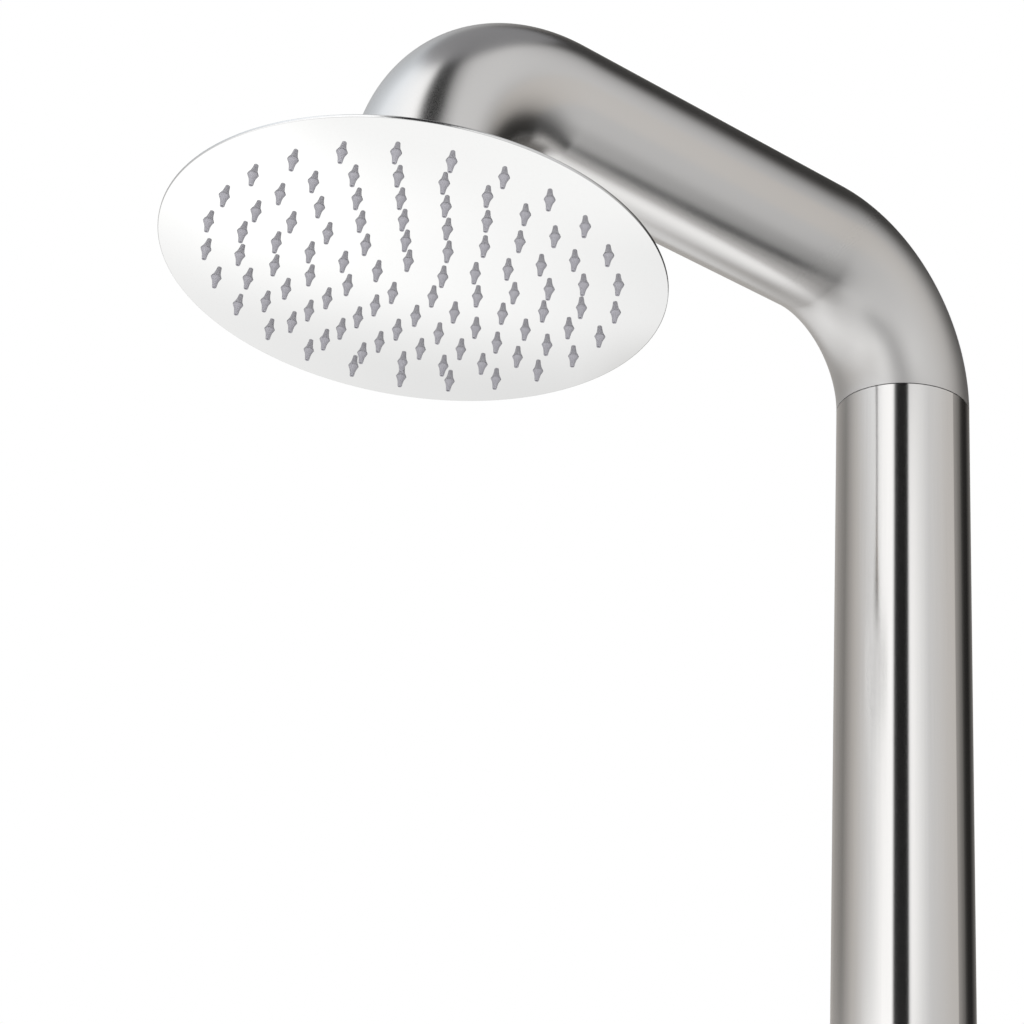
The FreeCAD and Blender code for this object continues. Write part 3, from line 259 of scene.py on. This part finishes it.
def add_world():
    world = bpy.data.worlds.new("studio")
    world.use_nodes = True
    bpy.context.scene.world = world
    t = Tree(world.node_tree)
    path = t.add("ShaderNodeLightPath")
    seen = t.math("MAXIMUM", path.outputs["Is Camera Ray"], path.outputs["Is Transmission Ray"])
    plain = t.glow("ShaderNodeBackground", WHITE, 0.75)
    white = t.glow("ShaderNodeBackground", WHITE, 1.0)
    ceiling = t.glow("ShaderNodeBackground", (*linear(0.62, 0.62, 0.63), 1), 1.0)
    unseen = t.blend(path.outputs["Is Glossy Ray"], plain, ceiling)
    t.add("ShaderNodeOutputWorld", {"Surface": t.blend(seen, unseen, white)})


def tent_material():
    """What the steel mirrors: light cloth all round with dark flags and brighter panels."""
    made, t = new_material("tent_cloth")
    place = t.add("ShaderNodeNewGeometry").outputs["Position"]
    x, y, z = t.add("ShaderNodeSeparateXYZ", {0: place}).outputs
    around = t.math("ARCTAN2", x, t.math("MULTIPLY", y, -1.0))
    turn = t.math("MULTIPLY_ADD", around, 1 / (2 * pi), 0.5)

    def wall(stops):
        out = []
        for degrees, level, warmth in stops:
            colour = tuple(level * (1 + warmth * tint) / TENT_GAIN for tint in WARM_TINT)
            out.append((0.5 + degrees / 360, colour))
        return t.ramp(turn, out)

    light = wall(FOOT_WALL)
    for start, stop, stops in UPPER_WALLS:
        light = t.mix(t.between(z, start, stop), light, wall(stops))
    light = t.mix(t.between(z, **TENT_FADE), light, BLACK)
    shown = t.glow("ShaderNodeEmission", light, TENT_GAIN)
    t.add("ShaderNodeOutputMaterial", {"Surface": shown})
    return made


def add_tent():
    rows = [ring(Vector((0, 0, z)), TENT_R, 96) for z in (0.0, TENT_Z / 2, TENT_Z)]
    tent = new_object("tent", new_mesh("tent", flat(rows), strips(rows)), tent_material())
    tent.visible_camera = False
    tent.visible_diffuse = False
    tent.visible_shadow = False
    tent.visible_transmission = False


def add_floor():
    """A pale floor that shows shadows near the object and fades into the white background."""
    made, t = new_material("floor")
    path = t.add("ShaderNodeLightPath")
    place = t.add("ShaderNodeNewGeometry").outputs["Position"]
    far = t.add("ShaderNodeVectorMath", {0: place}, operation="LENGTH").outputs["Value"]
    shadowed = t.add("ShaderNodeBsdfDiffuse", {"Color": (0.8, 0.8, 0.8, 1)}).outputs[0]
    white = t.glow("ShaderNodeEmission", WHITE, 1.0)
    seen = t.math("MAXIMUM", path.outputs["Is Camera Ray"], path.outputs["Is Transmission Ray"])
    fading = t.math("MULTIPLY", seen, t.between(far, **FLOOR_FADE))
    share = t.math("MAXIMUM", fading, path.outputs["Is Glossy Ray"])
    t.add("ShaderNodeOutputMaterial", {"Surface": t.blend(share, shadowed, white)})
    rows = [ring(Vector(), radius, 64) for radius in (0.001, 0.5, 2, 8, 30)]
    new_object("floor", new_mesh("floor", flat(rows), strips(rows)), made)


def add_lamp(name, place, aim, side, power):
    """A soft square lamp that mirror reflections don't show."""
    data = bpy.data.lights.new(name, "AREA")
    data.shape = "SQUARE"
    data.size = side
    data.energy = power
    lamp = bpy.data.objects.new(name, data)
    lamp.location = place
    lamp.rotation_euler = (Vector(aim) - Vector(place)).to_track_quat("-Z", "Y").to_euler()
    lamp.visible_glossy = False
    bpy.context.scene.collection.objects.link(lamp)


# ---------------------------------------------------------------- materials

STEEL = linear(0.78, 0.775, 0.77)


def even(scale):
    return (scale, scale, scale)


# Each finish: grain and clouds are how often two noises change per metre along x, y and z, spread
# is the share by which the roughness varies, tone the same for the colour, and relief is the
# grain's height.
FINISHES = {
    "satin_steel": dict(colour=STEEL, roughness=0.23, grain=even(2600), clouds=even(22),
                        spread=0.06, tone=0.012, relief=1.5e-7, duller=2.0),
    "post_steel": dict(colour=STEEL, roughness=0.17, grain=(2600, 2600, 14), clouds=(18, 18, 4),
                       spread=0.06, tone=0.02, relief=6e-8, brushed=0.8),
    "polished_steel": dict(colour=linear(0.86, 0.86, 0.857), roughness=0.035, grain=even(900),
                           clouds=even(14), spread=0.25, tone=0.006, relief=2e-8),
    "edge_steel": dict(colour=linear(0.80, 0.80, 0.80), roughness=0.16, grain=even(2600),
                       clouds=even(40), spread=0.15, tone=0.02, relief=2e-7),
    "silicone": dict(colour=linear(0.645, 0.64, 0.665), roughness=0.48, grain=even(1400),
                     clouds=even(60), spread=0.10, tone=0.03, relief=3e-6, metallic=0.0),
    "black_rubber": dict(colour=linear(0.09, 0.09, 0.09), roughness=0.6, grain=even(1800),
                         clouds=even(80), spread=0.15, tone=0.15, relief=6e-6, metallic=0.0),
    "brass": dict(colour=linear(0.85, 0.70, 0.42), roughness=0.26, grain=even(1500),
                  clouds=even(35), spread=0.20, tone=0.05, relief=1e-6),
    "white_plastic": dict(colour=linear(0.86, 0.86, 0.84), roughness=0.38, grain=even(900),
                          clouds=even(40), spread=0.12, tone=0.02, relief=2e-6, metallic=0.0),
    "ceramic": dict(colour=linear(0.90, 0.88, 0.84), roughness=0.2, grain=even(1200),
                    clouds=even(60), spread=0.15, tone=0.02, relief=1e-6, metallic=0.0),
    "hose_braid": dict(colour=linear(0.62, 0.62, 0.62), roughness=0.38, grain=(1600, 1600, 500),
                       clouds=even(60), spread=0.2, tone=0.12, relief=4e-5),
}


def noise(t, place, scale, detail):
    stretched = t.add("ShaderNodeMapping", {"Vector": place, "Scale": scale}).outputs[0]
    inputs = {"Vector": stretched, "Scale": 1.0, "Detail": detail}
    return t.add("ShaderNodeTexNoise", inputs).outputs["Fac"]


def finish(name, colour, roughness, grain, clouds, spread, tone, relief,
           metallic=1.0, duller=1.0, brushed=0.0):
    """A surface whose colour, roughness and relief vary a little with a fine and a slow noise.

    It is duller times as rough at the column's seam, and brushed draws its reflections out along Z.
    """
    made, t = new_material(name)
    sockets = {"Metallic": metallic}
    if brushed:
        sockets["Anisotropic"] = brushed
        sockets["Anisotropic Rotation"] = 0.25
    shader = t.add("ShaderNodeBsdfPrincipled", sockets)
    t.add("ShaderNodeOutputMaterial", {"Surface": shader.outputs[0]})
    place = t.add("ShaderNodeTexCoord").outputs["Object"]
    fine = noise(t, place, grain, 3.0)
    slow = noise(t, place, clouds, 2.0)
    mixed = t.math("MULTIPLY_ADD", slow, 0.5, t.math("MULTIPLY", fine, 0.5))
    low = tuple(c * (1 - tone) for c in colour)
    high = tuple(min(1.0, c * (1 + tone)) for c in colour)
    t.link(t.ramp(mixed, [(0.38, low), (0.62, high)]), shader, "Base Color")
    rough = t.between(mixed, 0.36, 0.64, roughness * (1 - spread), roughness * (1 + spread))
    if duller > 1:
        seam = (0, 0, SEAM_Z)
        away = t.add("ShaderNodeVectorMath", {0: place, 1: seam}, operation="DISTANCE")
        more = t.between(away.outputs["Value"], 0.03, 0.11, duller, 1.0)
        rough = t.math("MULTIPLY", rough, more)
    t.link(rough, shader, "Roughness")
    bump = t.add("ShaderNodeBump", {"Strength": 1.0, "Distance": relief, "Height": fine})
    t.link(bump.outputs[0], shader, "Normal")
    if brushed:
        tangent = t.add("ShaderNodeTangent", direction_type="RADIAL", axis="Z")
        t.link(tangent.outputs[0], shader, "Tangent")
    return made


# ---------------------------------------------------------------- arm

def arm_stations(count):
    """Places along the arm's middle line, each with the direction away from its bend's centre."""
    out = []
    for centre_y, start in ((-BEND_R, 0.0), (BEND_R - REACH, pi / 2)):
        for i in range(count + 1):
            a = start + pi / 2 * i / count
            outwards = Vector((0, cos(a), sin(a)))
            out.append((Vector((0, centre_y, SEAM_Z)) + BEND_R * outwards, outwards))
    return out


def make_arm(materials):
    """The arm as one smooth tube, with its wall's thickness at both mouths."""
    stations = arm_stations(64)
    count = 192
    rows = [ring(c, TUBE_R, count, up=u) for c, u in stations]
    rows += [ring(c, TUBE_R - TUBE_WALL, count, up=u) for c, u in reversed(stations)]
    faces = strips(rows)
    last = len(rows) * count - count
    faces += [(last + j, last + (j + 1) % count, (j + 1) % count, j) for j in range(count)]
    piece = new_object("arm", new_mesh("arm", flat(rows), faces), materials["satin_steel"])
    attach(piece, "post")
    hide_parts("arm_tube")
    # The photo's column doesn't mirror the arm. This hides it from every mirror, also its own.
    piece.visible_glossy = False


# ---------------------------------------------------------------- head

def dome_depth(radius, sphere=DOME_R):
    return DOME_CENTRE + sqrt(sphere * sphere - radius * radius)


def nozzle_places():
    for number, count in enumerate(RING_COUNTS, start=1):
        for i in range(count):
            turn = NOZZLE_PHASE + 2 * pi * i / count
            yield RING_PITCH * number * cos(turn), RING_PITCH * number * sin(turn)


# Points on the face's edge and on each hole's, and the triangular grid that fills the rest.
FACE_EDGE_COUNT = 240
HOLE_COUNT = 32
FACE_SPACING = 0.0055
ROW_SPACING = FACE_SPACING * 0.866


def face_plan(edge_r):
    """The flat face: its edge's points come first, then each hole's, then the filling's."""
    turns = [2 * pi * i / FACE_EDGE_COUNT for i in range(FACE_EDGE_COUNT)]
    points = [(edge_r * cos(a), edge_r * sin(a)) for a in turns]
    edges = [(i, (i + 1) % FACE_EDGE_COUNT) for i in range(FACE_EDGE_COUNT)]
    centres = list(nozzle_places())
    for x, y in centres:
        start = len(points)
        for i in range(HOLE_COUNT):
            a = 2 * pi * i / HOLE_COUNT
            points.append((x + HOLE_R * cos(a), y + HOLE_R * sin(a)))
            edges.append((start + i, start + (i + 1) % HOLE_COUNT))
    edge_room, hole_room = 0.6 * FACE_SPACING, HOLE_R + 0.4 * FACE_SPACING
    rows = int(edge_r / ROW_SPACING) + 1
    for i in range(-rows, rows + 1):
        for j in range(-rows, rows + 1):
            x, y = (j + 0.5 * (i % 2)) * FACE_SPACING, i * ROW_SPACING
            clear = hypot(x, y) < edge_r - edge_room
            if clear and all(hypot(x - u, y - v) > hole_room for u, v in centres):
                points.append((x, y))
    scaled = [Vector((1000 * x, 1000 * y)) for x, y in points]
    _, _, triangles, origins, _, _ = delaunay_2d_cdt(scaled, edges, [], 0, 1e-4)
    # A triangle whose corners all belong to one hole lies in it and is left out.
    kept = []
    for triangle in triangles:
        corners = tuple(origins[n][0] for n in triangle)
        owners = {(n - FACE_EDGE_COUNT) // HOLE_COUNT for n in corners}
        if len(owners) > 1 or not 0 <= owners.pop() < len(centres):
            kept.append(corners)
    return points, kept


def rim_profile(edge_r):
    """Radius and depth along the rim, from the face's edge round and up to the rim's inside."""
    round_depth = dome_depth(edge_r) - RIM_ROUND
    top = RIM_DEPTH - RIM_HEIGHT
    turns = (pi / 12 * i for i in range(1, 7))
    profile = [(edge_r + RIM_ROUND * sin(a), round_depth + RIM_ROUND * cos(a)) for a in turns]
    profile += [(HEAD_R, top + RIM_CHAMFER), (HEAD_R - RIM_CHAMFER, top)]
    profile.append((HEAD_R - RIM_WALL, top))
    return profile


def smooth_dome(mesh, points, triangle_count):
    """Gives the dome's two sides the exact normals of their spheres; other faces keep their own."""
    turn = HEAD_PLACE.to_3x3()
    middle = Vector((0, 0, DOME_CENTRE))
    normals = []
    for n, polygon in enumerate(mesh.polygons):
        side = 1 if n < triangle_count else -1
        on_dome = n < 2 * triangle_count
        for loop in polygon.loop_indices:
            away = points[mesh.loops[loop].vertex_index] - middle
            normals.append(turn @ (side * away.normalized()) if on_dome else Vector())
    mesh.normals_split_custom_set(normals)


def make_face(materials):
    """The polished face: a shallow dome with a hole for each nozzle and a rounded rim."""
    edge_r = HEAD_R - RIM_ROUND
    plan, triangles = face_plan(edge_r)
    inner_edge = (HEAD_R - RIM_WALL) / edge_r
    inner_r = DOME_R - FACE_WALL
    points = [Vector((x, y, dome_depth(hypot(x, y)))) for x, y in plan]
    for n, (x, y) in enumerate(plan):
        shrink = inner_edge if n < FACE_EDGE_COUNT else 1.0
        depth = dome_depth(hypot(x, y) * shrink, inner_r)
        points.append(Vector((x * shrink, y * shrink, depth)))
    below = len(plan)
    faces = list(triangles)
    faces += [tuple(below + n for n in reversed(corners)) for corners in triangles]
    holes_end = FACE_EDGE_COUNT + HOLE_COUNT * sum(RING_COUNTS)
    for start in range(FACE_EDGE_COUNT, holes_end, HOLE_COUNT):
        for i in range(HOLE_COUNT):
            a, b = start + i, start + (i + 1) % HOLE_COUNT
            faces.append((a, b, below + b, below + a))
    rim_start = len(faces)
    rows = [range(FACE_EDGE_COUNT)]
    for radius, depth in rim_profile(edge_r):
        rows.append(range(len(points), len(points) + FACE_EDGE_COUNT))
        for x, y in plan[:FACE_EDGE_COUNT]:
            points.append(Vector((x * radius / edge_r, y * radius / edge_r, depth)))
    rows.append(range(below, below + FACE_EDGE_COUNT))
    for upper, lower in zip(rows, rows[1:]):
        for i in range(FACE_EDGE_COUNT):
            k = (i + 1) % FACE_EDGE_COUNT
            faces.append((upper[k], upper[i], lower[i], lower[k]))

    mesh = new_mesh("face", [HEAD_PLACE @ p for p in points], faces, radians(50))
    smooth_dome(mesh, points, len(triangles))
    for polygon in mesh.polygons[rim_start:]:
        polygon.material_index = 1
    piece = new_object("face", mesh, materials["polished_steel"], materials["edge_steel"])
    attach(piece, "head")
    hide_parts("face_plate")


# A nozzle's section in millimetres: radius and drop below the face, from its root down to the tip,
# over the lip and up its bore.
NOZZLE = [
    (2.05, -1.30), (2.05, 0.00), (2.05, 0.20), (1.99, 0.42), (1.85, 0.70), (1.66, 1.05),
    (1.48, 1.45), (1.32, 1.95), (1.18, 2.55), (1.07, 3.20), (0.98, 3.90), (0.92, 4.45),
    (0.90, 4.64), (0.84, 4.75), (0.76, 4.80), (0.66, 4.79), (0.59, 4.73), (0.55, 4.60),
    (0.55, -1.30),
]
NOZZLE_COUNT = 24
MAT_COUNT = 96
MAT_MIDDLE_R = 0.002


def mat_rows():
    """Circles of the mat's section: out along its front, over its bead and back behind it."""
    lower = DOME_R - FACE_WALL - LAY_GAP
    upper = lower - MAT_WALL
    radii = [MAT_MIDDLE_R, *(MAT_R * i / 10 for i in range(1, 11))]
    section = [(r, dome_depth(r, lower)) for r in radii]
    section += [(MAT_R, MAT_TOP), (MAT_R - BEAD_WIDTH, MAT_TOP)]
    section += [(r, dome_depth(r, upper)) for r in reversed(radii[:-1])]
    return [ring(Vector((0, 0, depth)), radius, MAT_COUNT) for radius, depth in section]


def make_nozzles(materials):
    """The silicone mat behind the face, with a soft flared nozzle through each of its holes."""
    rows = mat_rows()
    points = flat(rows)
    faces = [tuple(reversed(f)) for f in strips(rows)]
    faces.append(tuple(range(MAT_COUNT)))
    faces.append(tuple(reversed(range(len(points) - MAT_COUNT, len(points)))))
    total = NOZZLE_COUNT * len(NOZZLE)
    for x, y in nozzle_places():
        foot = dome_depth(hypot(x, y))
        rows = [ring(Vector((x, y, foot + drop / 1000)), radius / 1000, NOZZLE_COUNT)
                for radius, drop in NOZZLE]
        rows.append(rows[0])
        start = len(points)
        points += flat(rows[:-1])
        for face in strips(rows):
            faces.append(tuple(reversed([start + n % total for n in face])))
    mesh = new_mesh("nozzles", [HEAD_PLACE @ p for p in points], faces, radians(50))
    piece = new_object("nozzles", mesh, materials["silicone"])
    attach(piece, "head")
    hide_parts("nozzle_mat")


# ---------------------------------------------------------------- scene

add_camera()
add_world()
add_tent()
add_floor()
add_lamp("key", place=(2.2, -2.6, 3.6), aim=(0, 0, 1.2), side=1.6, power=60)
add_lamp("fill", place=(-2.6, -1.2, 3.0), aim=(0, 0, 1.0), side=1.6, power=30)
add_lamp("low", place=(1.5, -1.9, 1.0), aim=(0, -REACH, 2.07), side=1.2, power=22)

materials = {name: finish(name, **look) for name, look in FINISHES.items()}
slots = {s["node"]: s["material_slot"] for s in frame["record"]["subparts"]}
for name, node in nodes.items():
    node.data.materials.clear()
    node.data.materials.append(materials[slots[name]])
make_arm(materials)
make_face(materials)
make_nozzles(materials)

bpy.context.scene.view_settings.view_transform = "Standard"
